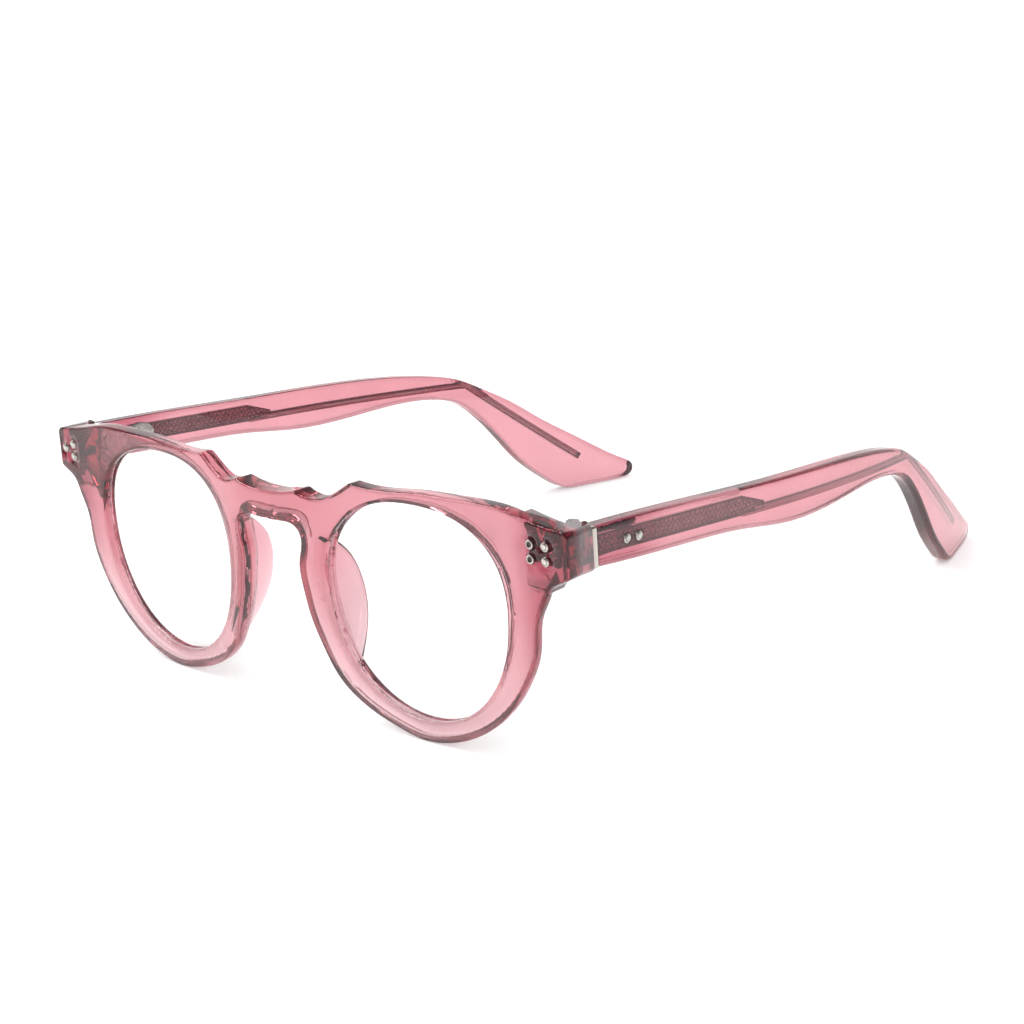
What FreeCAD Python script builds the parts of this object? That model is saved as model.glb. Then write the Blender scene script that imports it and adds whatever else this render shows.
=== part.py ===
import FreeCAD, Part
import math
import os

import Sketcher
from FreeCAD import Placement, Rotation, Vector

# Round crown-panto eyeglasses with a keyhole bridge, standing on the rims and the temple tips.
# +X is the wearer's left, +Y runs back along the temples, +Z is up.
# The origin is on the table, half way along and half way across the open glasses.

# Driving dimensions in millimetres: alias, value, what it measures.
# "Deep" always counts from the foremost point of the bridge, "high" from the table.
SIZES = [
    ("front_width", 145.0, "front, end piece to end piece"),
    ("brow_height", 48.3, "highest point of the brow"),
    ("crest_height", 47.8, "crown corner beside the bridge"),
    ("crest_spread", 21.3, "crown corner, from the middle"),
    ("notch_height", 43.9, "bottom of the notch between crown and bridge"),
    ("bridge_end_height", 45.0, "raised ends of the bridge top"),
    ("bridge_end_spread", 8.4, "raised ends of the bridge top, from the middle"),
    ("bridge_top_height", 43.9, "middle of the bridge top"),
    ("keyhole_height", 38.5, "underside of the bridge"),
    ("keyhole_spread", 8.9, "widest half width of the keyhole"),
    ("keyhole_wide_height", 36.2, "where the keyhole is widest"),
    ("end_top_height", 45.6, "top of the end piece at its outer edge"),
    ("end_bottom_height", 37.4, "bottom of the end piece at its outer edge"),
    ("end_depth", 12.1, "end piece to the joint with the temple, deep"),
    ("wrap_depth", 5.5, "how far the front curves back at its ends"),
    ("rim_thickness", 3.8, "front to back over the lens"),
    ("bridge_thickness", 5.2, "front to back at the bridge"),
    ("hinge_seat_depth", 9.7, "seat of the hinge plate, deep"),
    ("hinge_seat_width", 7.6, "width of that seat beside the lug"),
    ("lens_gap", 27.4, "between the two lens openings"),
    ("opening_width", 44.0, "lens opening, across"),
    ("opening_bottom", 4.1, "lowest point of the opening"),
    ("opening_wide_height", 28.3, "height at which the opening is widest"),
    ("opening_top", 45.6, "highest point of the opening"),
    ("rim_temporal", 6.9, "rim width on the temple side"),
    ("corner_rounding", 1.2, "rounding of the corners of the front outline"),
    ("front_rounding", 0.5, "rounding of the front edge of the outline"),
    ("brow_rounding", 1.0, "rounding of the back edge of the brow and bridge"),
    ("opening_front_rounding", 0.6, "rounding of the front edges of the openings"),
    ("opening_back_rounding", 0.8, "rounding of the back edges of the openings"),
    ("rim_rounding", 2.8, "rounding of the outer back edge of the rims"),
    ("end_block_bottom", 34.0, "underside of the thick end piece"),
    ("bevel_depth", 0.7, "how far the lens sits in its groove"),
    ("lens_thickness", 1.4, "lens, front to back"),
    ("lens_radius", 200.0, "spherical curve of the lens"),
    ("lens_depth", 5.3, "middle of the lens edge, deep"),
    ("lens_turn", 4.4, "degrees that each lens turns to follow the wrap"),
    ("seat_clearance", 0.05, "play between a piece and its seat"),
    ("pad_thickness", 2.8, "nose pad, across"),
    ("pad_reach", 8.7, "nose pad, root to back edge"),
    ("pad_root_depth", 4.2, "nose pad root, deep"),
    ("pad_root_spread", 9.2, "nose pad root at the top, from the middle"),
    ("pad_top_height", 33.4, "top of the nose pad"),
    ("pad_bottom_height", 7.6, "bottom of the nose pad"),
    ("pad_splay", 29.0, "degrees that the nose pad turns outwards"),
    ("pad_lean", 8.0, "degrees that its lower end leans outwards"),
    ("pad_rounding", 1.1, "rounding of the pad edges"),
    ("temple_reach", 149.4, "temple, front end to tip, straight back"),
    ("temple_thickness", 4.0, "temple, across"),
    ("temple_top_height", 45.0, "top of the temple at its front end"),
    ("bow_start", 44.8, "front end of the temple to where it bows inwards"),
    ("bow_radius", 275.0, "radius of that bow, outer face"),
    ("temple_inset", 0.2, "temple face inside the end piece face"),
    ("temple_rounding", 1.0, "rounding of the long edges"),
    ("core_thickness", 1.2, "core wire and shield, across"),
    ("shield_start", 0.8, "front end of the temple to the shield"),
    ("shield_length", 40.5, "shield without its point"),
    ("shield_point", 6.5, "length of the point"),
    ("shield_top_height", 43.2, "top of the shield at its front end"),
    ("shield_height", 3.7, "shield, top to bottom, at its front end"),
    ("shield_fall", 3.3, "how far the shield drops along its length"),
    ("wire_width", 1.5, "core wire, top to bottom"),
    ("wire_start_height", 36.7, "wire where it leaves the shield"),
    ("wire_bend_reach", 104.5, "front end of the temple to the bend of the wire"),
    ("wire_bend_height", 31.8, "bend of the wire"),
    ("wire_end_reach", 134.8, "front end of the temple to the end of the wire"),
    ("wire_end_height", 7.8, "end of the wire"),
    ("plate_thickness", 1.2, "silver plate on the end of the temple"),
    ("plate_rounding", 0.4, "rounding of its four corners"),
    ("plate_knob_radius", 0.9, "knob on top of that plate"),
    ("joint_gap", 0.1, "end piece to silver plate"),
    ("leaf_thickness", 1.0, "both hinge leaves"),
    ("leaf_inset", 0.3, "hinge leaf inside the edges of its seat"),
    ("leaf_length", 13.4, "leaf on the inner face of the temple"),
    ("leaf_gap", 0.4, "barrels to the leaf on the temple"),
    ("barrel_radius", 1.5, "hinge barrels"),
    ("barrel_height", 1.23, "each of the five barrels"),
    ("barrel_gap", 0.06, "play between neighbouring barrels"),
    ("hinge_bottom", 38.1, "underside of the lowest barrel"),
    ("pivot_depth", 13.6, "hinge axis, deep"),
    ("pivot_inset", 5.9, "end piece face to the hinge axis"),
    ("screw_radius", 0.7, "hinge screw shank"),
    ("screw_clearance", 0.04, "play of the screw in the barrels"),
    ("screw_head_radius", 1.2, "hinge screw head"),
    ("screw_head_height", 0.6, "hinge screw head"),
    ("slot_width", 0.3, "slot of the hinge screw"),
    ("slot_depth", 0.3, "slot of the hinge screw"),
    ("rivet_head_radius", 0.95, "rivet heads"),
    ("rivet_head_height", 0.6, "thickness of a rivet head"),
    ("rivet_stand", 0.15, "how far a rivet head stands proud"),
    ("rivet_shank_radius", 0.5, "rivet shanks"),
    ("front_rivet_upper", 42.6, "upper front rivets"),
    ("front_rivet_lower", 39.9, "lower front rivets"),
    ("front_rivet_inner", 8.5, "end piece face to the inner front rivets"),
    ("front_rivet_outer", 5.2, "end piece face to the outer front rivets"),
    ("lug_rivet_inset", 2.3, "end piece face to the single rivet in the lug"),
    ("lug_rivet_height", 41.5, "single rivet in the lug"),
    ("trim_rivet_length", 3.2, "rivets that stop in the acetate"),
    ("temple_rivet_reach", 7.9, "front end of the temple to its first rivet"),
    ("temple_rivet_pitch", 3.2, "between the temple rivets"),
    ("temple_rivet_height", 40.7, "first temple rivet"),
    ("temple_rivet_fall", 0.3, "second temple rivet below the first"),
    ("overrun", 2.0, "how far cutting tools run past what they cut"),
]

# Shapes without a length of their own: powers of the rounded outlines and shares of the sizes above.
OPENING_TOP_POWER = 2.4
OPENING_TOP_NASAL_POWER = 2.2
OPENING_BOTTOM_POWER = 2.05
RIM_TEMPORAL_POWER = 1.9
OUTLINE_STEPS = 7
# A face or an edge looks to the front or back when at least this share of its direction does.
FACING_SHARE = 0.85
# Bridge end over the notch to the crown corner: share of the run, share of the rise.
NOTCH_SHARES = [(0.23, 0.02), (0.40, 0.0), (0.56, 0.15), (0.74, 0.46)]
# Brow, end piece underside and nose side of the rim: share of the half width, share of the brow height.
BROW_SHARES = [(0.40, 0.981), (0.52, 0.995), (0.62, 0.998), (0.717, 1.0), (0.797, 0.992), (0.859, 0.973),
               (0.92, 0.957)]
END_UNDER_SHARES = [(0.968, 0.752), (0.938, 0.724), (0.919, 0.672)]
RIM_NASAL_SHARES = [(0.40, 0.024), (0.335, 0.056), (0.268, 0.108), (0.212, 0.183), (0.164, 0.315),
                    (0.134, 0.43), (0.119, 0.53), (0.113, 0.65)]
# Keyhole, from its widest place to its top: share of the spread, share of the rise.
KEYHOLE_SHARES = [(1.0, 0.0), (0.9, 0.66), (0.6, 1.0)]
# Front face seen from above, to a little past its end: share of the half width, share of the wrap depth.
FACE_SHARES = [(0.0, 0.0), (0.11, 0.04), (0.207, 0.27), (0.303, 0.47), (0.497, 0.67), (0.82, 0.868),
               (1.03, 1.03)]
# Back edge of the nose pad: share of the reach, share of the height.
PAD_SHARES = [(0.0, 1.0), (0.45, 0.96), (0.72, 0.86), (0.92, 0.70), (1.0, 0.50), (0.95, 0.30), (0.74, 0.12),
              (0.45, 0.02), (0.0, 0.0)]
# Temple seen from the side, over the top, round the tip and back along the underside:
# share of the reach, share of the height at its front end.
TEMPLE_SHARES = [(0.0, 1.0), (0.079, 0.982), (0.30, 0.916), (0.487, 0.864), (0.646, 0.784), (0.686, 0.744),
                 (0.725, 0.676), (0.788, 0.549), (0.832, 0.44), (0.895, 0.298), (0.947, 0.18), (0.980, 0.113),
                 (0.996, 0.066), (0.993, 0.024), (0.976, 0.003), (0.947, -0.001), (0.915, 0.0), (0.872, 0.01),
                 (0.842, 0.073), (0.795, 0.211), (0.757, 0.369), (0.723, 0.502), (0.678, 0.62), (0.64, 0.66),
                 (0.507, 0.68), (0.37, 0.691), (0.272, 0.744), (0.171, 0.778), (0.0, 0.831)]

doc = FreeCAD.newDocument("round_eyeglasses")
sheet = doc.addObject("Spreadsheet::Sheet", "Sizes")
for row, (alias, value, note) in enumerate(SIZES, start=1):
    sheet.set("A%d" % row, note)
    sheet.set("B%d" % row, str(value))
    sheet.setAlias("B%d" % row, alias)
doc.recompute()


def size(alias):
    return float(sheet.get(alias))


# Expressions that several pieces share.
FRONT_Y = "(-(Sizes.end_depth + Sizes.joint_gap + Sizes.plate_thickness + Sizes.temple_reach) / 2)"
FACE_X = "(Sizes.front_width / 2 - Sizes.temple_inset)"
INNER_X = "(%s - Sizes.temple_thickness)" % FACE_X
PIVOT_X = "(Sizes.front_width / 2 - Sizes.pivot_inset)"
PIVOT_Y = "(%s + Sizes.pivot_depth)" % FRONT_Y
TEMPLE_Y = "(%s + Sizes.end_depth + Sizes.joint_gap + Sizes.plate_thickness)" % FRONT_Y
BARREL_PITCH = "(Sizes.barrel_height + Sizes.barrel_gap)"
STACK_HEIGHT = "(5 * Sizes.barrel_height + 4 * Sizes.barrel_gap)"

# The same places as numbers, for the shapes that are made by Part functions.
half_width = size("front_width") / 2
face_x = half_width - size("temple_inset")
inner_x = face_x - size("temple_thickness")
lens_x = (size("lens_gap") + size("opening_width")) / 2
temple_depth = size("end_depth") + size("joint_gap") + size("plate_thickness")
front_y = -(temple_depth + size("temple_reach")) / 2
temple_y = front_y + temple_depth


def spline(points, first=None, last=None):
    """Smooth edge through the points, with the directions of its ends where they matter."""
    curve = Part.BSplineCurve()
    if first is None:
        curve.interpolate(points)
    else:
        curve.interpolate(Points=points, InitialTangent=first, FinalTangent=last)
    return curve.toShape()


def line(start, end):
    return Part.LineSegment(start, end).toShape()


def prism(edges, direction):
    """Solid from a closed run of edges."""
    return Part.Face(Part.Wire(Part.__sortEdges__(edges))).extrude(direction)


def mirrored(shapes):
    return [shape.mirror(Vector(0, 0, 0), Vector(1, 0, 0)) for shape in shapes]


def feature(name, shape):
    made = doc.addObject("Part::Feature", name)
    made.Shape = shape
    return made


def bulge(share, power):
    """Half width of a rounded outline at this share of its height."""
    return (1 - share ** power) ** (1 / power)


def opening_outline(grow, y):
    """Closed outline of the left lens opening, larger all round by grow."""
    half = size("opening_width") / 2 + grow
    upper = size("opening_top") - size("opening_wide_height") + grow
    lower = size("opening_wide_height") - size("opening_bottom") + grow
    quarters = [(1, upper, OPENING_TOP_POWER, 1), (-1, upper, OPENING_TOP_NASAL_POWER, 0),
                (-1, -lower, OPENING_BOTTOM_POWER, 1), (1, -lower, OPENING_BOTTOM_POWER, 0)]
    points = []
    for side, height, power, rising in quarters:
        for step in range(OUTLINE_STEPS):
            part = step if rising else OUTLINE_STEPS - step
            share = math.sin(part / OUTLINE_STEPS * math.pi / 2)
            z = size("opening_wide_height") + height * share
            points.append(Vector(lens_x + side * half * bulge(share, power), y, z))
    curve = Part.BSplineCurve()
    curve.interpolate(points, PeriodicFlag=True)
    return curve.toShape()


def front_half_outline(y):
    """Outline of the left half of the front, from the bridge top round to the keyhole."""
    def at(across, up):
        return Vector(across * half_width, y, up * size("brow_height"))

    bridge_end = Vector(size("bridge_end_spread"), y, size("bridge_end_height"))
    crest = Vector(size("crest_spread"), y, size("crest_height"))
    notch = [bridge_end]
    for run, rise in NOTCH_SHARES:
        z = size("notch_height") + rise * (crest.z - size("notch_height"))
        notch.append(Vector(bridge_end.x + run * (crest.x - bridge_end.x), y, z))
    end_top = Vector(half_width, y, size("end_top_height"))
    end_bottom = Vector(half_width, y, size("end_bottom_height"))
    brow = [crest] + [at(across, up) for across, up in BROW_SHARES] + [end_top]
    rim = [end_bottom] + [at(across, up) for across, up in END_UNDER_SHARES]
    half = size("opening_width") / 2 + size("rim_temporal")
    for step in range(OUTLINE_STEPS + 1):
        share = math.sin(step / OUTLINE_STEPS * math.pi / 2)
        z = size("opening_wide_height") * (1 - share)
        rim.append(Vector(lens_x + half * bulge(share, RIM_TEMPORAL_POWER), y, z))
    rim += [at(across, up) for across, up in RIM_NASAL_SHARES]
    keyhole_top = Vector(0, y, size("keyhole_height"))
    for spread, rise in KEYHOLE_SHARES:
        z = size("keyhole_wide_height") + rise * (keyhole_top.z - size("keyhole_wide_height"))
        rim.append(Vector(spread * size("keyhole_spread"), y, z))
    rim.append(keyhole_top)
    return [spline(notch + [crest]), spline(brow), line(end_top, end_bottom), spline(rim)]


def face_line(z):
    """Front face seen from above, from the middle to the end."""
    points = []
    for across, back in FACE_SHARES:
        points.append(Vector(across * half_width, front_y + back * size("wrap_depth"), z))
    return points, spline(points, Vector(1, 0, 0), points[-1] - points[-2])


def front_plan(z):
    """Left half of the front seen from above, without the end block."""
    face, face_edge = face_line(z)
    middle_rear = Vector(0, front_y + size("bridge_thickness"), z)
    rear = [middle_rear, Vector(face[1].x, middle_rear.y, z)]
    rear += [point + Vector(0, size("rim_thickness"), 0) for point in face[3:]]
    rear_edge = spline(rear, Vector(1, 0, 0), rear[-1] - rear[-2])
    return [face_edge, line(face[-1], rear[-1]), rear_edge, line(face[0], rear[0])]


def block_plan(z):
    """End block seen from above: hinge seat, lug and a front that stays inside the face."""
    seat = Vector(inner_x - size("hinge_seat_width"), front_y + size("hinge_seat_depth"), z)
    start = Vector(seat.x, front_y + size("wrap_depth") + size("front_rounding"), z)
    outer = Vector(half_width + size("overrun"), start.y + size("front_rounding"), z)
    lug_root = Vector(inner_x, seat.y, z)
    lug_inner = Vector(inner_x, front_y + size("end_depth"), z)
    lug_outer = Vector(outer.x, lug_inner.y, z)
    corners = [start, outer, lug_outer, lug_inner, lug_root, seat]
    return [line(corners[index], corners[(index + 1) % 6]) for index in range(6)]


def curved_edges(shape, y_direction):
    """Edges of the curved faces that look to the front (-1) or back (1), but for the middle plane."""
    found = []
    for face in shape.Faces:
        u0, u1, v0, v1 = face.ParameterRange
        towards = face.normalAt((u0 + u1) / 2, (v0 + v1) / 2).y * y_direction
        if towards > FACING_SHARE and face.Surface.TypeId != "Part::GeomPlane":
            found += [edge for edge in face.Edges if edge.BoundBox.XMax > size("joint_gap")]
    return found


def runs_along(edge, wire):
    """True when the edge lies over the wire, seen from the front."""
    middle = edge.valueAt((edge.FirstParameter + edge.LastParameter) / 2)
    above = Part.Vertex(Vector(middle.x, start_y, middle.z))
    return above.distToShape(wire)[0] < size("joint_gap") / 2


def corner_edges(shape):
    """Sharp corners of the front outline: bridge end, crown corner and end piece."""
    found = []
    for edge in shape.Edges:
        near = edge.Vertexes[0].Point
        far = edge.Vertexes[-1].Point
        runs_back = abs(far.y - near.y) > size("joint_gap") and abs(far.x - near.x) < size("joint_gap")
        if runs_back and near.z > size("end_block_bottom") and near.x > size("bridge_end_spread") / 2:
            found.append(edge)
    return found


def drill(x, y, z, radius, length, way):
    return Part.makeCylinder(radius, length, Vector(x, y, z), way)


def face_depth(x):
    """How deep the front face lies at this distance from the middle."""
    share = x / half_width
    for (near, near_back), (far, far_back) in zip(FACE_SHARES, FACE_SHARES[1:]):
        if share <= far:
            back = near_back + (far_back - near_back) * (share - near) / (far - near)
            return back * size("wrap_depth")


# Front frame: outline and plan meet, then the openings, corners and edges, one half mirrored.
depth = Vector(0, size("end_depth") + 2 * size("overrun"), 0)
start_y = front_y - size("overrun")
bridge_end = Vector(size("bridge_end_spread"), start_y, size("bridge_end_height"))
bridge_top = Vector(0, start_y, size("bridge_top_height"))
keyhole_top = Vector(0, start_y, size("keyhole_height"))
whole_arc = Part.Arc(Vector(-bridge_end.x, bridge_end.y, bridge_end.z), bridge_top, bridge_end).toShape()
middle = (whole_arc.FirstParameter + whole_arc.LastParameter) / 2
top_arc = whole_arc.Curve.toShape(middle, whole_arc.LastParameter)
blank = prism(front_half_outline(start_y) + [top_arc, line(bridge_top, keyhole_top)], depth)
tall = Vector(0, 0, size("brow_height") + 2 * size("overrun"))
blank = blank.makeFillet(size("corner_rounding"), corner_edges(blank)).Solids[0]
outline = min(blank.Faces, key=lambda face: face.BoundBox.YMax).OuterWire
opening = opening_outline(0, start_y)
slab = prism(front_plan(-size("overrun")), tall).fuse(prism(block_plan(size("end_block_bottom")), tall))
half = blank.common(slab).cut(prism([opening], depth)).Solids[0]


def rounded(shape, y_direction, wire, radius, top_limit):
    """Rounds the front (-1) or back (1) edges along the wire whose lowest point is under the limit."""
    edges = [edge for edge in curved_edges(shape, y_direction) if runs_along(edge, wire)]
    return shape.makeFillet(radius, [edge for edge in edges if edge.BoundBox.ZMin < top_limit]).Solids[0]


half = rounded(half, 1, outline, size("rim_rounding"), size("opening_bottom") / 2)
half = rounded(half, -1, outline, size("front_rounding"), size("brow_height"))
half = rounded(half, 1, outline, size("brow_rounding"), size("brow_height"))
half = rounded(half, 1, opening, size("opening_back_rounding"), size("brow_height"))
half = rounded(half, -1, opening, size("opening_front_rounding"), size("brow_height"))


def lens_shape(grow, play):
    """Lens, or the groove that holds it: opening outline and two spheres."""
    radius = size("lens_radius")
    turn = math.radians(size("lens_turn"))
    back = math.sqrt(radius ** 2 - (size("opening_width") / 2) ** 2)
    centre_y = front_y + size("lens_depth") + back * math.cos(turn)
    centre = Vector(lens_x - back * math.sin(turn), centre_y, size("opening_wide_height"))
    outer = Part.makeSphere(radius + size("lens_thickness") / 2 + play, centre)
    inner = Part.makeSphere(radius - size("lens_thickness") / 2 - play, centre)
    return prism([opening_outline(grow, start_y)], depth).common(outer).cut(inner).Solids[0]


lens = lens_shape(size("bevel_depth") - size("seat_clearance"), 0)
half = half.cut(lens_shape(size("bevel_depth"), size("seat_clearance"))).Solids[0]
body = half.fuse(mirrored([half])).removeSplitter().Solids[0]

# Nose pads: a rounded plate, leaned and splayed, that ends flush on the back of the rim.
pad_height = size("pad_top_height") - size("pad_bottom_height")
pad_points = []
for out, up in PAD_SHARES:
    pad_points.append(Vector(-size("pad_thickness") / 2, out * size("pad_reach"), (up - 1) * pad_height))
pad = prism([spline(pad_points), line(pad_points[-1], pad_points[0])], Vector(size("pad_thickness"), 0, 0))
pad_edges = [edge for edge in pad.Edges if edge.BoundBox.YMax > size("pad_reach") / 2]
pad = pad.makeFillet(size("pad_rounding"), pad_edges).Solids[0]
pad.rotate(Vector(0, 0, 0), Vector(0, 1, 0), -size("pad_lean"))
pad.rotate(Vector(0, 0, 0), Vector(0, 0, 1), -size("pad_splay"))
pad.translate(Vector(size("pad_root_spread"), front_y + size("pad_root_depth"), size("pad_top_height")))
pad = max(pad.cut(body).Solids, key=lambda solid: solid.Volume)
pad.translate(Vector(0, size("seat_clearance"), 0))


def temple_slab(inset, thickness, start, bottom):
    """The temple seen from above: straight, then bowed inwards, as a tall slab."""
    outer = face_x - inset
    bow_y = temple_y + size("bow_start")
    end_y = temple_y + size("temple_reach") + size("overrun")
    edges = []
    ends = []
    for x in (outer, outer - thickness):
        radius = size("bow_radius") - (face_x - x)
        centre = Vector(x - radius, bow_y, bottom)
        turn = math.asin((end_y - bow_y) / size("bow_radius"))
        end = centre + Vector(radius * math.cos(turn), radius * math.sin(turn), 0)
        half_way = centre + Vector(radius * math.cos(turn / 2), radius * math.sin(turn / 2), 0)
        bow = Vector(x, bow_y, bottom)
        edges += [line(Vector(x, start, bottom), bow), Part.Arc(bow, half_way, end).toShape()]
        ends += [Vector(x, start, bottom), end]
    edges += [line(ends[0], ends[2]), line(ends[1], ends[3])]
    return prism(edges, Vector(0, 0, size("temple_top_height") + 2 * size("overrun")))


def side_point(reach, z):
    return Vector(half_width - size("temple_reach"), temple_y + reach, z)


across = Vector(2 * size("temple_reach"), 0, 0)
side_points = []
for run, up in TEMPLE_SHARES:
    side_points.append(side_point(run * size("temple_reach"), up * size("temple_top_height")))
side = prism([spline(side_points), line(side_points[-1], side_points[0])], across)
temple = side.common(temple_slab(0, size("temple_thickness"), temple_y, -size("overrun"))).Solids[0]
long_edges = [edge for edge in temple.Edges if edge.Length > size("temple_reach") / 4]
temple = temple.makeFillet(size("temple_rounding"), long_edges).Solids[0]


def core_shape(grow):
    """Engraved shield with its point and the wire that follows, larger all round by grow."""
    start = size("shield_start")
    top = size("shield_top_height")
    fall = size("shield_fall")
    corner = start + size("shield_length")
    point = corner + size("shield_point")
    bottom = top - size("shield_height")
    shield = [side_point(start - grow, top + grow), side_point(corner, top - fall + grow)]
    shield += [side_point(point, size("wire_start_height") + size("wire_width") / 2)]
    shield += [side_point(point, size("wire_start_height") - size("wire_width") / 2)]
    shield += [side_point(corner, bottom - fall - grow), side_point(start - grow, bottom - grow)]
    plate = Part.Face(Part.makePolygon(shield + [shield[0]])).extrude(across)
    begin = side_point(corner, size("wire_start_height"))
    bend = side_point(size("wire_bend_reach"), size("wire_bend_height"))
    end = side_point(size("wire_end_reach"), size("wire_end_height"))
    half_wire = size("wire_width") / 2 + grow
    wires = []
    for first, last in ((begin, bend), (bend, end)):
        way = last - first
        way.normalize()
        up = Vector(0, -way.z, way.y) * half_wire
        stop = last + way * grow
        corners = [first + up, stop + up, stop - up, first - up]
        wires.append(Part.Face(Part.makePolygon(corners + [corners[0]])).extrude(across))
    wires.append(Part.makeCylinder(half_wire, across.x, bend, Vector(1, 0, 0)))
    inset = (size("temple_thickness") - size("core_thickness")) / 2 - grow
    thickness = size("core_thickness") + 2 * grow
    limits = temple_slab(inset, thickness, temple_y, -size("overrun"))
    pieces = [shape.common(limits) for shape in [plate] + wires]
    return pieces[0].fuse(pieces[1:]).Solids[0]


core = core_shape(0)
temple = temple.cut(core_shape(size("seat_clearance"))).Solids[0]
rivet_reaches = [size("temple_rivet_reach"), size("temple_rivet_reach") + size("temple_rivet_pitch")]
rivet_heights = [size("temple_rivet_height"), size("temple_rivet_height") - size("temple_rivet_fall")]
leaf_x = inner_x - size("seat_clearance") - size("leaf_thickness")
inwards = Vector(-1, 0, 0)
temple_rivets = []
for reach, z in zip(rivet_reaches, rivet_heights):
    top = face_x + size("rivet_stand")
    y = temple_y + reach
    head = drill(top, y, z, size("rivet_head_radius"), size("rivet_head_height"), inwards)
    shank = drill(top, y, z, size("rivet_shank_radius"), top - leaf_x, inwards)
    temple_rivets.append(head.fuse(shank).removeSplitter())
    play = size("seat_clearance")
    head_hole = drill(top, y, z, size("rivet_head_radius") + play, size("rivet_head_height") + play, inwards)
    shank_hole = drill(top, y, z, size("rivet_shank_radius") + play, top - leaf_x + play, inwards)
    temple = temple.cut(head_hole.fuse(shank_hole)).Solids[0]
    core = core.cut(shank_hole).Solids[0]

# Front rivets: two hold the hinge leaf, the others stop in the acetate.
hinge_places = [(half_width - size("front_rivet_outer"), size("front_rivet_upper")),
                (half_width - size("front_rivet_outer"), size("front_rivet_lower"))]
left_trims = [(half_width - size("front_rivet_inner"), size("front_rivet_upper")),
              (half_width - size("front_rivet_inner"), size("front_rivet_lower"))]
right_trims = [(half_width - size("lug_rivet_inset"), size("lug_rivet_height"))]
leaf_back = size("hinge_seat_depth") + size("seat_clearance") + size("leaf_thickness")


def front_rivets(places, end_depths, play):
    made = []
    for (x, z), end in zip(places, end_depths):
        top = face_depth(x) - size("rivet_stand")
        back = Vector(0, 1, 0)
        y = front_y + top
        head = drill(x, y, z, size("rivet_head_radius") + play, size("rivet_head_height") + play, back)
        shank = drill(x, y, z, size("rivet_shank_radius") + play, end - top + play, back)
        made.append(head.fuse(shank).removeSplitter())
    return made


def end_depths(trims):
    return [leaf_back, leaf_back] + [face_depth(x) + size("trim_rivet_length") for x, z in trims]


left_rivets = front_rivets(hinge_places + left_trims, end_depths(left_trims), 0)
right_rivets = mirrored(front_rivets(hinge_places + right_trims, end_depths(right_trims), 0))
holes = front_rivets(hinge_places + left_trims, end_depths(left_trims), size("seat_clearance"))
holes += mirrored(front_rivets(hinge_places + right_trims, end_depths(right_trims), size("seat_clearance")))
body = body.cut(holes).Solids[0]

front_frame = feature("front_frame", body)
left_lens = feature("left_lens", lens)
left_nose_pad = feature("left_nose_pad", pad)
left_temple = feature("left_temple", temple)
left_core_wire = feature("left_core_wire", core)
left_temple_rivets = feature("left_temple_rivets", Part.makeCompound(temple_rivets))
left_front_rivets = feature("left_front_rivets", Part.makeCompound(left_rivets))
right_front_rivets = feature("right_front_rivets", Part.makeCompound(right_rivets))


# Hinge pieces are PartDesign bodies with their axis on the local Z axis.
def new_body(name):
    made = doc.addObject("PartDesign::Body", name)
    for key, text in (("x", PIVOT_X), ("y", PIVOT_Y), ("z", "Sizes.hinge_bottom")):
        made.setExpression("Placement.Base." + key, text)
    return made


def new_sketch(body, name, role):
    sketch = body.newObject("Sketcher::SketchObject", name)
    plane = [item for item in body.Origin.OriginFeatures if item.Role == role][0]
    sketch.AttachmentSupport = (plane, [""])
    sketch.MapMode = "FlatFace"
    return sketch


def fix(sketch, name, expression, *rule):
    """Adds a dimension to a sketch and ties it to the sheet."""
    index = sketch.addConstraint(Sketcher.Constraint(*rule))
    sketch.renameConstraint(index, name)
    sketch.setExpression("Constraints." + name, expression)


def rectangle(sketch, left, right, low, high):
    """Rectangle reaching these four distances to the left, right, down and up of the origin."""
    x0, x1, y0, y1 = -1.0, 1.0, -1.0, 1.0
    corners = [Vector(x0, y0, 0), Vector(x1, y0, 0), Vector(x1, y1, 0), Vector(x0, y1, 0)]
    first = sketch.GeometryCount
    for index in range(4):
        sketch.addGeometry(Part.LineSegment(corners[index], corners[(index + 1) % 4]))
    for index in range(4):
        sketch.addConstraint(Sketcher.Constraint("Coincident", first + index, 2, first + (index + 1) % 4, 1))
    for index, rule in enumerate(("Horizontal", "Vertical", "Horizontal", "Vertical")):
        sketch.addConstraint(Sketcher.Constraint(rule, first + index))
    fix(sketch, "left%d" % first, left, "DistanceX", first, 1, -1, 1, 1.0)
    fix(sketch, "low%d" % first, low, "DistanceY", first, 1, -1, 1, 1.0)
    fix(sketch, "right%d" % first, right, "DistanceX", -1, 1, first + 2, 1, 1.0)
    fix(sketch, "high%d" % first, high, "DistanceY", -1, 1, first + 2, 1, 1.0)


def circle(sketch, radius):
    index = sketch.addGeometry(Part.Circle(Vector(0, 0, 0), Vector(0, 0, 1), 1.0))
    sketch.addConstraint(Sketcher.Constraint("Coincident", index, 3, -1, 1))
    fix(sketch, "radius%d" % index, radius, "Radius", index, 1.0)


def pad_sketch(body, sketch, name, length):
    made = body.newObject("PartDesign::Pad", name)
    made.Profile = sketch
    made.setExpression("Length", length)
    sketch.Visibility = False
    return made


def pattern(body, name, source, count):
    """Repeats a barrel upwards, every second place of the stack."""
    made = body.newObject("PartDesign::LinearPattern", name)
    made.Originals = [source]
    made.Direction = ([item for item in body.Origin.OriginFeatures if item.Role == "Z_Axis"][0], [""])
    made.Mode = "Spacing"
    made.setExpression("Offset", "2 * " + BARREL_PITCH)
    made.Occurrences = count
    body.Tip = made
    return made


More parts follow.
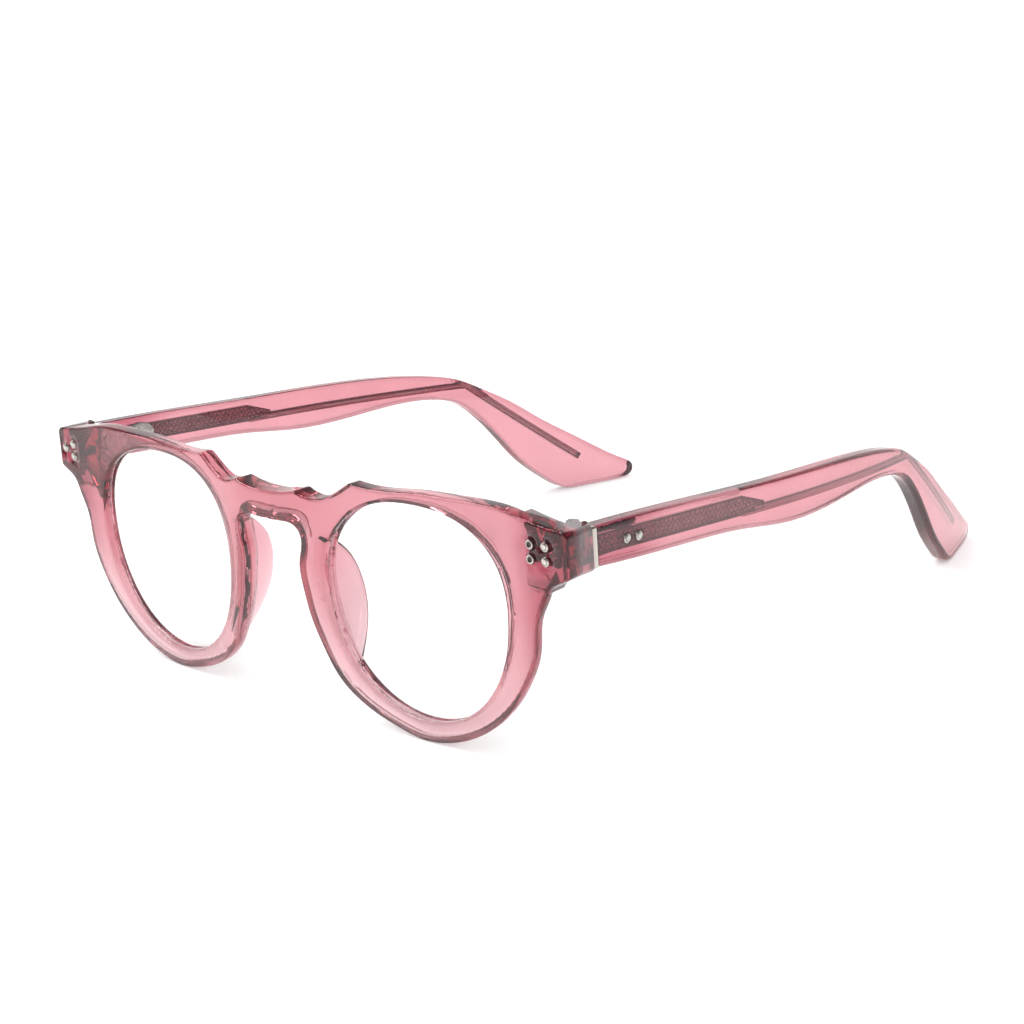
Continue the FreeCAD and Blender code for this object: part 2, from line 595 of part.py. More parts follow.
def screw_hole(body, name):
    sketch = new_sketch(body, name + "_sketch", "XY_Plane")
    circle(sketch, "Sizes.screw_radius + Sizes.screw_clearance")
    made = body.newObject("PartDesign::Pocket", name)
    made.Profile = sketch
    made.Type = "ThroughAll"
    made.Midplane = True
    sketch.Visibility = False


ARM = "(Sizes.pivot_depth - Sizes.hinge_seat_depth - Sizes.seat_clearance - Sizes.leaf_thickness)"
TOWARDS_TEMPLE = "(Sizes.pivot_inset - Sizes.temple_inset - Sizes.temple_thickness - Sizes.seat_clearance)"

# Leaf on the front: plate on its seat, three barrels on arms, holes for the screw and two rivets.
front_leaf = new_body("left_front_hinge")
plate_sketch = new_sketch(front_leaf, "front_plate_sketch", "XY_Plane")
plate_left = "Sizes.hinge_seat_width - Sizes.leaf_inset - " + TOWARDS_TEMPLE
plate_right = TOWARDS_TEMPLE + " - Sizes.leaf_inset"
rectangle(plate_sketch, plate_left, plate_right, ARM + " + Sizes.leaf_thickness", "-" + ARM)
pad_sketch(front_leaf, plate_sketch, "front_plate", STACK_HEIGHT)
arm_sketch = new_sketch(front_leaf, "front_arm_sketch", "XY_Plane")
rectangle(arm_sketch, "Sizes.barrel_radius", "Sizes.barrel_radius", ARM + " + Sizes.leaf_thickness / 2", "0")
front_arm = pad_sketch(front_leaf, arm_sketch, "front_arm", "Sizes.barrel_height")
pattern(front_leaf, "front_arms", front_arm, 3)
barrel_sketch = new_sketch(front_leaf, "front_barrel_sketch", "XY_Plane")
circle(barrel_sketch, "Sizes.barrel_radius")
front_barrel = pad_sketch(front_leaf, barrel_sketch, "front_barrel", "Sizes.barrel_height")
pattern(front_leaf, "front_barrels", front_barrel, 3)
screw_hole(front_leaf, "front_screw_hole")

# Leaf on the temple: long plate on the inner face, two barrels on arms between the other three.
temple_leaf = new_body("left_temple_hinge")
long_sketch = new_sketch(temple_leaf, "temple_plate_sketch", "XY_Plane")
START = "Sizes.barrel_radius + Sizes.leaf_gap"
long_left = "Sizes.leaf_thickness - " + TOWARDS_TEMPLE
rectangle(long_sketch, long_left, TOWARDS_TEMPLE, "-(%s)" % START, "Sizes.leaf_length")
pad_sketch(temple_leaf, long_sketch, "temple_plate", STACK_HEIGHT)
for index, name in ((1, "lower"), (3, "upper")):
    for kind in ("arm", "barrel"):
        sketch = new_sketch(temple_leaf, "temple_%s_%s_sketch" % (name, kind), "XY_Plane")
        sketch.setExpression("AttachmentOffset.Base.z", "%d * %s" % (index, BARREL_PITCH))
        if kind == "arm":
            rectangle(sketch, "0", TOWARDS_TEMPLE, "0", START + " + Sizes.leaf_thickness")
        else:
            circle(sketch, "Sizes.barrel_radius")
        pad_sketch(temple_leaf, sketch, "temple_%s_%s" % (name, kind), "Sizes.barrel_height")
screw_hole(temple_leaf, "temple_screw_hole")

# Hinge screw: shank, head and slot.
screw = new_body("left_hinge_screw")
shank_sketch = new_sketch(screw, "screw_shank_sketch", "XY_Plane")
circle(shank_sketch, "Sizes.screw_radius")
pad_sketch(screw, shank_sketch, "screw_shank", STACK_HEIGHT + " + Sizes.screw_head_height")
head_sketch = new_sketch(screw, "screw_head_sketch", "XY_Plane")
head_sketch.setExpression("AttachmentOffset.Base.z", STACK_HEIGHT)
circle(head_sketch, "Sizes.screw_head_radius")
pad_sketch(screw, head_sketch, "screw_head", "Sizes.screw_head_height")
slot_sketch = new_sketch(screw, "screw_slot_sketch", "XY_Plane")
slot_sketch.setExpression("AttachmentOffset.Base.z", STACK_HEIGHT + " + Sizes.screw_head_height")
slot_reach = "Sizes.screw_head_radius + Sizes.overrun"
rectangle(slot_sketch, slot_reach, slot_reach, "Sizes.slot_width / 2", "Sizes.slot_width / 2")
slot = screw.newObject("PartDesign::Pocket", "screw_slot")
slot.Profile = slot_sketch
slot.setExpression("Length", "Sizes.slot_depth")
slot_sketch.Visibility = False
doc.recompute()


def cylinder(name, radius, height, x, y, z, turn):
    made = doc.addObject("Part::Cylinder", name)
    made.Placement = Placement(Vector(0, 0, 0), turn)
    made.setExpression("Radius", radius)
    made.setExpression("Height", height)
    for key, text in (("x", x), ("y", y), ("z", z)):
        made.setExpression("Placement.Base." + key, text)
    return made


# Holes for the rivets in both leaves.
ALONG_Y = Rotation(Vector(1, 0, 0), -90)
ALONG_X = Rotation(Vector(0, 1, 0), 90)
HOLE = "Sizes.rivet_shank_radius + Sizes.seat_clearance"
RIVET_X = "Sizes.front_width / 2 - Sizes.front_rivet_outer"
SEAT_Y = FRONT_Y + " + Sizes.hinge_seat_depth - Sizes.overrun"
front_hinge_holes = []
for name in ("upper", "lower"):
    length = "Sizes.leaf_thickness + 2 * Sizes.overrun"
    hole = cylinder("front_hole_" + name, HOLE, length, RIVET_X, SEAT_Y, "Sizes.front_rivet_" + name, ALONG_Y)
    front_hinge_holes.append(hole)
temple_hinge_holes = []
for index in range(2):
    y = TEMPLE_Y + " + Sizes.temple_rivet_reach + %d * Sizes.temple_rivet_pitch" % index
    z = "Sizes.temple_rivet_height - %d * Sizes.temple_rivet_fall" % index
    x = INNER_X + " - Sizes.seat_clearance - Sizes.leaf_thickness - Sizes.overrun"
    length = "Sizes.leaf_thickness + 2 * Sizes.overrun"
    temple_hinge_holes.append(cylinder("temple_hole_%d" % (index + 1), HOLE, length, x, y, z, ALONG_X))


def drilled(name, base, holes):
    """Base with its holes cut out; the base hands its name on."""
    tool = doc.addObject("Part::MultiFuse", name + "_holes")
    tool.Shapes = holes
    made = doc.addObject("Part::Cut", name + "_drilled")
    made.Base = base
    made.Tool = tool
    return made


left_front_hinge = drilled("left_front_hinge", front_leaf, front_hinge_holes)
left_temple_hinge = drilled("left_temple_hinge", temple_leaf, temple_hinge_holes)

# Silver plate on the end of the temple, with its knob.
end_plate = doc.addObject("Part::Box", "end_plate")
end_plate.setExpression("Length", "Sizes.temple_thickness")
end_plate.setExpression("Width", "Sizes.plate_thickness - Sizes.seat_clearance")
end_plate.setExpression("Height", "Sizes.temple_top_height - Sizes.end_bottom_height")
end_plate.setExpression("Placement.Base.x", INNER_X)
end_plate.setExpression("Placement.Base.y", TEMPLE_Y + " - Sizes.plate_thickness")
end_plate.setExpression("Placement.Base.z", "Sizes.end_bottom_height")
rounded_plate = doc.addObject("Part::Fillet", "rounded_plate")
rounded_plate.Base = end_plate
doc.recompute()
rounding = size("plate_rounding")
numbered = enumerate(end_plate.Shape.Edges, start=1)
lengthwise = [number for number, edge in numbered if abs(edge.tangentAt(0).y) > FACING_SHARE]
rounded_plate.Edges = [(number, rounding, rounding) for number in lengthwise]
knob = doc.addObject("Part::Sphere", "plate_knob")
knob.setExpression("Radius", "Sizes.plate_knob_radius")
knob.setExpression("Placement.Base.x", INNER_X + " + Sizes.temple_thickness / 2")
knob.setExpression("Placement.Base.y", TEMPLE_Y + " - Sizes.plate_knob_radius")
knob.setExpression("Placement.Base.z", "Sizes.temple_top_height")
knob_limit = doc.addObject("Part::Box", "knob_limit")
knob_limit.setExpression("Length", "Sizes.temple_thickness")
knob_limit.setExpression("Width", "Sizes.plate_thickness - Sizes.seat_clearance")
knob_limit.setExpression("Height", "3 * Sizes.plate_knob_radius")
knob_limit.setExpression("Placement.Base.x", INNER_X)
knob_limit.setExpression("Placement.Base.y", TEMPLE_Y + " - Sizes.plate_thickness")
knob_limit.setExpression("Placement.Base.z", "Sizes.temple_top_height - Sizes.plate_knob_radius")
cut_knob = doc.addObject("Part::Common", "cut_knob")
cut_knob.Base = knob
cut_knob.Tool = knob_limit
left_end_plate = doc.addObject("Part::Fuse", "left_temple_end_plate")
left_end_plate.Base = rounded_plate
left_end_plate.Tool = cut_knob
doc.recompute()

nodes = {
    "front_frame": front_frame,
    "left_lens": left_lens,
    "left_nose_pad": left_nose_pad,
    "left_front_hinge": left_front_hinge,
    "left_hinge_screw": screw,
    "left_temple_hinge": left_temple_hinge,
    "left_temple": left_temple,
    "left_core_wire": left_core_wire,
    "left_temple_end_plate": left_end_plate,
    "left_temple_rivets": left_temple_rivets,
    "left_front_rivets": left_front_rivets,
    "right_front_rivets": right_front_rivets,
}
for name in list(nodes):
    if name.startswith("left_") and name != "left_front_rivets":
        mirror = doc.addObject("Part::Mirroring", name.replace("left_", "right_", 1))
        mirror.Source = nodes[name]
        mirror.Normal = Vector(1, 0, 0)
        nodes[mirror.Name] = mirror
doc.recompute()

for item in doc.Objects:
    if "Invalid" in item.State or "Error" in item.State:
        raise RuntimeError("%s: %s" % (item.Name, item.State))
for name, item in nodes.items():
    if item.Shape.isNull() or not item.Shape.isValid() or not item.Shape.Solids:
        raise RuntimeError("%s has no valid shape" % name)
os.makedirs("parts", exist_ok=True)
for name, item in nodes.items():
    item.Label = name
    item.Shape.exportStep("parts/%s.step" % name)
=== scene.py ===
import math

import bmesh
import bpy
from mathutils import Matrix, Vector


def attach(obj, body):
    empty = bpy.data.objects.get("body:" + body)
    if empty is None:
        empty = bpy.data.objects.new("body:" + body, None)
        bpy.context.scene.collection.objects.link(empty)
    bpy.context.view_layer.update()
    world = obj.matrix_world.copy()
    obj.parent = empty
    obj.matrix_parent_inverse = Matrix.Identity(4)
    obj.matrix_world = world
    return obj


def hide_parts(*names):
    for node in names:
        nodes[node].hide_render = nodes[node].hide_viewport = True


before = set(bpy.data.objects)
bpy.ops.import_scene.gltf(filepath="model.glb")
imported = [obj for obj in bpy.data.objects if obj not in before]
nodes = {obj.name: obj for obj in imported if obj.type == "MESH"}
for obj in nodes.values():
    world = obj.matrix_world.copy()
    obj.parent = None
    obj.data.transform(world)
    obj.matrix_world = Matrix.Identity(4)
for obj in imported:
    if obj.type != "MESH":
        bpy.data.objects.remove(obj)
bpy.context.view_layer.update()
scene = bpy.context.scene
scene.view_settings.view_transform = "Standard"

# Materials work in metres, the pieces further down in millimetres, both in the row frame
EVEN = (1.0, 1.0, 1.0)
GRAIN_UP = (1.0, 1.0, 0.05)
GRAIN_ALONG = (1.0, 0.1, 1.0)
WHITE = (1.0, 1.0, 1.0, 1.0)
NOISE_DETAIL = 3.0
CLOUD_SCALE = 90.0
FINE_SCALE = 700.0
GRAIN_SCALE = 900.0
LENS_SCALE = 40.0
RELIEF = 0.00005

# Inputs and output of a Mix node that mixes colours
MIX_SHARE = 0
MIX_FIRST = 6
MIX_SECOND = 7
MIX_RESULT = 2

# Acetate: painted shade at the edges, a tint that changes with height, and painted shade at thick places
# along X or Y
EDGE_PAINTED_SHADE = (0.26, 0.09, 0.13)
EDGE_REACH = 0.0009
EDGE_SAMPLES = 6
EDGE_FLAT = 0.996
EDGE_FULL = 0.94
TINT_BOTTOM = 0.002
TINT_TOP = 0.030
MOTTLE = (0.94, 0.94, 0.94)
# Painted shade on the thick end pieces along X and the temple heads along Y: axis, way, start, end and
# shade
END_PIECE_SHADE = ("X", "ABSOLUTE", 0.0575, 0.0665, (0.60, 0.30, 0.37))
TEMPLE_HEAD_SHADE = ("Y", "MULTIPLY", 0.045, 0.060, (0.74, 0.50, 0.57))
ACETATE_CLEAR = 0.95
ACETATE_IOR = 1.49
ACETATE_DENSITY = 150.0
ACETATE_DEPTH = (0.66, 0.0, 0.08)
ACETATE_ROUGHNESS = (0.01, 0.05)
ACETATE_RELIEF = 0.02
LENS_TINT = (0.985, 0.99, 0.99)
LENS_ROUGHNESS = (0.0, 0.01)
LENS_IOR = 1.2
METAL_RELIEF = 0.15
WIRE_RELIEF = 0.1
SIDE_FROM = 0.45
SIDE_TO = 0.9


def new_material(name):
    material = bpy.data.materials.new(name)
    material.use_nodes = True
    tree = material.node_tree
    return material, tree, tree.nodes["Principled BSDF"]


def add(tree, kind, **values):
    """New node; a value goes to the input of its name, or else to the node's own setting."""
    node = tree.nodes.new(kind)
    for key, value in values.items():
        if key in node.inputs:
            node.inputs[key].default_value = value
        else:
            setattr(node, key, value)
    return node


def noise(tree, scale, stretch=EVEN):
    """Noise in the row frame, stretched per axis."""
    place = add(tree, "ShaderNodeTexCoord")
    mapping = add(tree, "ShaderNodeMapping", Scale=stretch)
    tree.links.new(place.outputs["Object"], mapping.inputs["Vector"])
    made = add(tree, "ShaderNodeTexNoise", Scale=scale, Detail=NOISE_DETAIL)
    tree.links.new(mapping.outputs["Vector"], made.inputs["Vector"])
    return made.outputs["Fac"]


def place_along(tree, axis):
    """Place along one axis of the row frame."""
    place = add(tree, "ShaderNodeTexCoord")
    parts = add(tree, "ShaderNodeSeparateXYZ")
    tree.links.new(place.outputs["Object"], parts.inputs["Vector"])
    return parts.outputs[axis]


def ramp(tree, source, low, high, start=0.35, end=0.65):
    """Colour that runs from low at start to high at end."""
    made = add(tree, "ShaderNodeValToRGB")
    for element, position, colour in zip(made.color_ramp.elements, (start, end), (low, high)):
        element.position = position
        element.color = (*colour, 1.0)
    tree.links.new(source, made.inputs["Fac"])
    return made.outputs["Color"]


def spread(tree, source, low, high):
    """Number from low to high for a source from 0 to 1."""
    made = add(tree, "ShaderNodeMapRange")
    made.inputs["To Min"].default_value = low
    made.inputs["To Max"].default_value = high
    tree.links.new(source, made.inputs["Value"])
    return made.outputs["Result"]


def share_between(tree, source, start, end, way="SMOOTHSTEP"):
    """0 up to start, 1 from end on."""
    made = add(tree, "ShaderNodeMapRange", interpolation_type=way)
    made.inputs["From Min"].default_value = start
    made.inputs["From Max"].default_value = end
    tree.links.new(source, made.inputs["Value"])
    return made.outputs["Result"]


def mixed(tree, share, first, second, blend="MIX"):
    """Mix of two colours; each of the three is a socket or a plain value."""
    made = add(tree, "ShaderNodeMix", data_type="RGBA", blend_type=blend)
    for index, value in ((MIX_SHARE, share), (MIX_FIRST, first), (MIX_SECOND, second)):
        if isinstance(value, bpy.types.NodeSocket):
            tree.links.new(value, made.inputs[index])
        else:
            made.inputs[index].default_value = value
    return made.outputs[MIX_RESULT]


def bump(tree, source, shader, strength):
    made = add(tree, "ShaderNodeBump", Strength=strength, Distance=RELIEF)
    tree.links.new(source, made.inputs["Height"])
    tree.links.new(made.outputs["Normal"], shader.inputs["Normal"])


def edges(tree):
    """1 close to the edges of a piece: the mask of a painted shade that stands in for light running a long
    way through the acetate.
    """
    soft = add(tree, "ShaderNodeBevel", samples=EDGE_SAMPLES, Radius=EDGE_REACH)
    flat = add(tree, "ShaderNodeNewGeometry")
    alike = add(tree, "ShaderNodeVectorMath", operation="DOT_PRODUCT")
    tree.links.new(soft.outputs["Normal"], alike.inputs[0])
    tree.links.new(flat.outputs["Normal"], alike.inputs[1])
    return share_between(tree, alike.outputs["Value"], EDGE_FLAT, EDGE_FULL)


def darker(tree, colour, axis, way, start, end, shade):
    """Colour times a painted shade where the place along the axis goes from start to end.

    The way ABSOLUTE takes both sides of the middle, and MULTIPLY the negative side alone.
    """
    reach = add(tree, "ShaderNodeMath", operation=way)
    reach.inputs[1].default_value = -1.0
    tree.links.new(place_along(tree, axis), reach.inputs[0])
    share = share_between(tree, reach.outputs["Value"], start, end)
    return mixed(tree, share, colour, (*shade, 1.0), "MULTIPLY")


def acetate(name, tint_low, tint_high, thick):
    """Clear tinted acetate; the tint on its surface runs from the low colour up to the high one, with
    painted shade at its edges and thick places.
    """
    material, tree, shader = new_material(name)
    height = share_between(tree, place_along(tree, "Z"), TINT_BOTTOM, TINT_TOP, "LINEAR")
    tint = ramp(tree, height, tint_low, tint_high, 0.0, 1.0)
    mottled = ramp(tree, noise(tree, CLOUD_SCALE), MOTTLE, EVEN)
    # Painted shade at the thick places
    body = darker(tree, mixed(tree, 1.0, tint, mottled, "MULTIPLY"), *thick)
    # Painted shade near the edges of the piece
    edge_shaded = mixed(tree, edges(tree), body, (*EDGE_PAINTED_SHADE, 1.0), "MULTIPLY")
    tree.links.new(edge_shaded, shader.inputs["Base Color"])
    fine = noise(tree, FINE_SCALE)
    tree.links.new(spread(tree, fine, *ACETATE_ROUGHNESS), shader.inputs["Roughness"])
    bump(tree, fine, shader, ACETATE_RELIEF)
    shader.inputs["Transmission Weight"].default_value = ACETATE_CLEAR
    shader.inputs["IOR"].default_value = ACETATE_IOR
    volume = add(tree, "ShaderNodeVolumeAbsorption", Density=ACETATE_DENSITY)
    volume.inputs["Color"].default_value = (*ACETATE_DEPTH, 1.0)
    tree.links.new(volume.outputs["Volume"], tree.nodes["Material Output"].inputs["Volume"])
    return material


def finish_metal(tree, shader, colour, grain, roughness, relief):
    tree.links.new(colour, shader.inputs["Base Color"])
    tree.links.new(spread(tree, grain, *roughness), shader.inputs["Roughness"])
    bump(tree, grain, shader, relief)
    shader.inputs["Metallic"].default_value = 1.0


def metal(name, dark, light, roughness, stretch=EVEN):
    """Metal whose colour and roughness run with its grain."""
    material, tree, shader = new_material(name)
    grain = noise(tree, GRAIN_SCALE, stretch)
    finish_metal(tree, shader, ramp(tree, grain, dark, light), grain, roughness, METAL_RELIEF)
    return material


def side_shaded_metal(name, edge, face, roughness, stretch):
    """Metal with painted shade where it faces up or down, lighter where it faces sideways."""
    material, tree, shader = new_material(name)
    facing = add(tree, "ShaderNodeNewGeometry")
    parts = add(tree, "ShaderNodeSeparateXYZ")
    tree.links.new(facing.outputs["Normal"], parts.inputs["Vector"])
    sideways = add(tree, "ShaderNodeMath", operation="ABSOLUTE")
    tree.links.new(parts.outputs["X"], sideways.inputs[0])
    shades = ramp(tree, sideways.outputs["Value"], edge, face, SIDE_FROM, SIDE_TO)
    finish_metal(tree, shader, shades, noise(tree, GRAIN_SCALE, stretch), roughness, WIRE_RELIEF)
    return material


def clear_lens(name):
    material, tree, shader = new_material(name)
    cloud = noise(tree, LENS_SCALE)
    tree.links.new(ramp(tree, cloud, LENS_TINT, EVEN), shader.inputs["Base Color"])
    tree.links.new(spread(tree, cloud, *LENS_ROUGHNESS), shader.inputs["Roughness"])
    shader.inputs["Transmission Weight"].default_value = 1.0
    shader.inputs["IOR"].default_value = LENS_IOR
    return material


front_pink = acetate("front_acetate", (1.0, 0.94, 0.95), (0.82, 0.50, 0.55), END_PIECE_SHADE)
temple_pink = acetate("temple_acetate", (0.90, 0.62, 0.67), (0.88, 0.58, 0.63), TEMPLE_HEAD_SHADE)
lens_material = clear_lens("clear_lens")

# Each metal has a dark and a light colour, the range of its roughness and the stretch of its grain
hinge_metal = metal("satin_steel", (0.24, 0.22, 0.21), (0.46, 0.43, 0.41), (0.18, 0.34))
# Painted shade: the steel of the front hinge seat is darkened to the shade it shows inside the acetate
shaded_seat_metal = metal("seat_steel_painted_shade", (0.14, 0.10, 0.10), (0.28, 0.22, 0.21), (0.2, 0.36))
rivet_metal = metal("rivet_steel", (0.42, 0.39, 0.37), (0.58, 0.55, 0.51), (0.14, 0.28))
# Painted shade for the recesses and rims of the rivets
painted_shade_metal = metal("rivet_painted_shade", (0.05, 0.045, 0.045), (0.13, 0.115, 0.11), (0.3, 0.5))
# Painted highlight on the beads of the engraved core, painted shade on its sunk ground and on the CAD core
# wire
highlit_bead_metal = metal("shield_beads_painted_highlight", (0.90, 0.84, 0.82), (0.98, 0.94, 0.92), (0.45, 0.6))
shaded_ground_metal = metal("shield_ground_painted_shade", (0.12, 0.085, 0.085), (0.24, 0.19, 0.18), (0.4, 0.6))
plate_metal = metal("plate_silver", (0.40, 0.37, 0.34), (0.62, 0.58, 0.53), (0.18, 0.32), GRAIN_UP)
# Painted shade on the top and bottom faces of the core wire
shaded_wire_metal = side_shaded_metal("wire_steel_painted_shade", (0.07, 0.045, 0.045), (0.50, 0.44, 0.42), (0.2, 0.4), GRAIN_ALONG)

# Materials of the CAD nodes by the ending of their names; the first that fits counts
LOOKS = (
    ("lens", lens_material),
    ("rivets", rivet_metal),
    ("core_wire", shaded_ground_metal),
    ("end_plate", plate_metal),
    ("front_hinge", shaded_seat_metal),
    ("hinge", hinge_metal),
    ("screw", hinge_metal),
    ("temple", temple_pink),
    ("", front_pink),
)
for name in nodes:
    mesh = nodes[name].data
    mesh.materials.clear()
    mesh.materials.append(next(material for ending, material in LOOKS if name.endswith(ending)))

# Pieces that stand for CAD nodes
MM = 0.001
SEAM = 0.0005
CREASE = 0.6
TURN_STEPS = 36
SIDES = (("left", 1.0), ("right", -1.0))


def shaded(mesh):
    """Smooth, but crisp at edges sharper than the crease angle."""
    for face in mesh.polygons:
        face.use_smooth = True
    mesh.set_sharp_from_angle(angle=CREASE)


def piece_from(name, made, materials, body, replaced=()):
    """Object from a mesh in millimetres; with no body it is only a shape to work with."""
    bmesh.ops.remove_doubles(made, verts=made.verts, dist=SEAM)
    bmesh.ops.scale(made, vec=(MM, MM, MM), verts=made.verts)
    bmesh.ops.recalc_face_normals(made, faces=made.faces)
    mesh = bpy.data.meshes.new(name)
    made.to_mesh(mesh)
    made.free()
    shaded(mesh)
    for material in materials:
        mesh.materials.append(material)
    piece = bpy.data.objects.new(name, mesh)
    scene.collection.objects.link(piece)
    if body:
        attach(piece, body)
        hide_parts(*replaced)
    return piece


def joined(made, first, second, number=0):
    """Faces between two closed rings of as many corners."""
    for index in range(len(first)):
        after = (index + 1) % len(first)
        face = made.faces.new([first[index], first[after], second[after], second[index]])
        face.material_index = number


def capped(made, first, second, number=0):
    """Faces that close two rings."""
    for ring in (first, second):
        made.faces.new(ring).material_index = number


def turned(made, top, way, profile):
    """Solid of revolution from top along way: rows of radius, depth and material number."""
    way = Vector(way).normalized()
    side = way.orthogonal().normalized()
    other = way.cross(side)
    rings = []
    for radius, depth, number in profile:
        middle = Vector(top) + way * depth
        if radius == 0:
            rings.append([made.verts.new(middle)])
            continue
        ring = []
        for step in range(TURN_STEPS):
            angle = 2 * math.pi * step / TURN_STEPS
            out = side * math.cos(angle) + other * math.sin(angle)
            ring.append(made.verts.new(middle + out * radius))
        rings.append(ring)
    for first, second, row in zip(rings, rings[1:], profile[1:]):
        if len(first) > 1 and len(second) > 1:
            joined(made, first, second, row[2])
            continue
        for step in range(TURN_STEPS):
            after = (step + 1) % TURN_STEPS
            if len(first) == 1:
                corners = [first[0], second[step], second[after]]
            else:
                corners = [first[step], first[after], second[0]]
            made.faces.new(corners).material_index = row[2]


# Rivets: rows of radius, depth below the top and material number; the second material is painted shade in
# the recesses and round the rims
BRIGHT = 0
PAINTED_SHADE = 1
RING_TOP = [(0.0, 0.26, PAINTED_SHADE), (0.30, 0.26, PAINTED_SHADE), (0.44, 0.20, PAINTED_SHADE), (0.54, 0.05, PAINTED_SHADE)]
RING_TOP += [(0.62, 0.0, BRIGHT), (0.76, 0.0, BRIGHT), (0.88, 0.06, BRIGHT), (0.94, 0.16, PAINTED_SHADE)]
DOME_TOP = [(0.0, 0.0, BRIGHT), (0.32, 0.01, BRIGHT), (0.52, 0.03, BRIGHT), (0.58, 0.07, PAINTED_SHADE)]
DOME_TOP += [(0.64, 0.04, BRIGHT), (0.80, 0.08, BRIGHT), (0.90, 0.16, BRIGHT), (0.95, 0.28, PAINTED_SHADE)]
HEAD_BOTTOM = [(0.95, 0.58, PAINTED_SHADE), (0.5, 0.6, BRIGHT)]
SHANK = 0.5
RIVET_REACH = 1.2
HINGE_RIVETS = [(67.3, 42.6), (67.3, 39.9)]
TRIM_RIVETS = {"left": [(64.0, 42.6), (64.0, 39.9)], "right": [(70.2, 41.5)]}
TRIM_TOPS = {"left": RING_TOP, "right": DOME_TOP}
TRIM_LENGTH = 3.2
LEAF_BACK = -70.65
TEMPLE_RIVETS = [(-60.1, 40.7), (-56.9, 40.4)]
RIVET_TOP = 72.45
LEAF_INNER = 67.25


def rivet(rows, length):
    """Profile of a rivet with the given top, down to the end of its shank."""
    return rows + HEAD_BOTTOM + [(SHANK, length, BRIGHT), (0.0, length, BRIGHT)]


def front_face_y(name, x, z):
    """Foremost depth of the CAD rivet at x, z."""
    near = []
    for vertex in nodes[name].data.vertices:
        if abs(vertex.co.x - x * MM) < RIVET_REACH * MM and abs(vertex.co.z - z * MM) < RIVET_REACH * MM:
            near.append(vertex.co.y / MM)
    return min(near)


for side, sign in SIDES:
    made = bmesh.new()
    node = side + "_front_rivets"
    for x, z in HINGE_RIVETS:
        top = front_face_y(node, sign * x, z)
        turned(made, (sign * x, top, z), (0, 1, 0), rivet(DOME_TOP, LEAF_BACK - top))
    for x, z in TRIM_RIVETS[side]:
        top = front_face_y(node, sign * x, z)
        turned(made, (sign * x, top, z), (0, 1, 0), rivet(TRIM_TOPS[side], TRIM_LENGTH))
    piece_from(side + "_front_pins", made, [rivet_metal, painted_shade_metal], "front", [node])

for side, sign in SIDES:
    made = bmesh.new()
    for y, z in TEMPLE_RIVETS:
        turned(made, (sign * RIVET_TOP, y, z), (-sign, 0, 0), rivet(DOME_TOP, RIVET_TOP - LEAF_INNER))
    body = side + "_temple_arm"
    metals = [rivet_metal, painted_shade_metal]
    piece_from(side + "_temple_pins", made, metals, body, [side + "_temple_rivets"])

# Engraved core: a shield with beads in a herringbone, and the wire behind it.
# Outlines are rows of reach behind the front end of the temple, and height.
TEMPLE_Y = -68.0
CORE_X = 70.3
BOW_Y = -23.2
BOW_RADIUS = 273.0
SHIELD = [(0.8, 43.2), (41.3, 39.9), (47.8, 37.45), (47.8, 35.95), (41.3, 36.2), (0.8, 39.5)]
SHIELD_HALF = 0.59
GROUND_HALF = 0.38
BORDER = 0.3
BORDER_SLOPE = 0.03
BEAD_ROWS = 4
BEAD_COLUMNS = 37
BEAD_START = 1.6
BEAD_END = 46.2
BEAD_PITCH = 1.24
ROW_PITCH = 0.70
BEAD_SLANT = 38.0
BEAD_LONG = 0.54
BEAD_WIDE = 0.30
BEAD_RIDGE = 0.3
BEAD_SINK = 0.04
BEAD_LOW = 0.01
BEAD_MARGIN = 0.28
WIRE = [(45.0, 36.41), (60.0, 35.25), (80.0, 33.7), (98.0, 32.3), (102.6, 31.9), (104.9, 31.4)]
WIRE += [(106.4, 30.2), (109.0, 28.2), (118.0, 21.1), (128.0, 13.2), (134.0, 8.43)]
WIRE_END = ((0.35, 0.8), (0.55, 0.45), (0.62, 0.08))
WIRE_STEPS = 16
WIRE_HALF_WIDTH = 0.56
WIRE_HALF_HEIGHT = 0.68
GROUND_NUMBER = 0
BEAD_NUMBER = 1
WIRE_NUMBER = 2


def core_x(y):
    """Middle of the temple, which bows inwards behind BOW_Y."""
    if y < BOW_Y:
        return CORE_X
    return CORE_X - BOW_RADIUS + math.sqrt(BOW_RADIUS ** 2 - (y - BOW_Y) ** 2)


def height_between(first, second, reach):
    """Height at this reach on the line through two corners."""
    share = (reach - first[0]) / (second[0] - first[0])
    return first[1] + (second[1] - first[1]) * share


def band(reach):
    """Low and high edge of the shield at this reach."""
    head_high, shoulder_high, tip_high, tip_low, shoulder_low, head_low = SHIELD
    if reach < shoulder_high[0]:
        low = height_between(head_low, shoulder_low, reach)
        high = height_between(head_high, shoulder_high, reach)
    else:
        low = height_between(shoulder_low, tip_low, reach)
        high = height_between(shoulder_high, tip_high, reach)
    return low, high


def shield_plate(made, sign):
    """Plate whose two faces are sunk inside a border."""
    rings = []
    for side in (-1, 1):
        x = sign * (CORE_X + side * SHIELD_HALF)
        rings.append([made.verts.new((x, TEMPLE_Y + run, z)) for run, z in SHIELD])
    faces = [made.faces.new(ring) for ring in rings]
    joined(made, *rings)
    bmesh.ops.recalc_face_normals(made, faces=made.faces)
    for face in faces:
        bmesh.ops.inset_region(made, faces=[face], thickness=BORDER, depth=0.0)
        bmesh.ops.inset_region(made, faces=[face], thickness=BORDER_SLOPE, depth=GROUND_HALF - SHIELD_HALF)


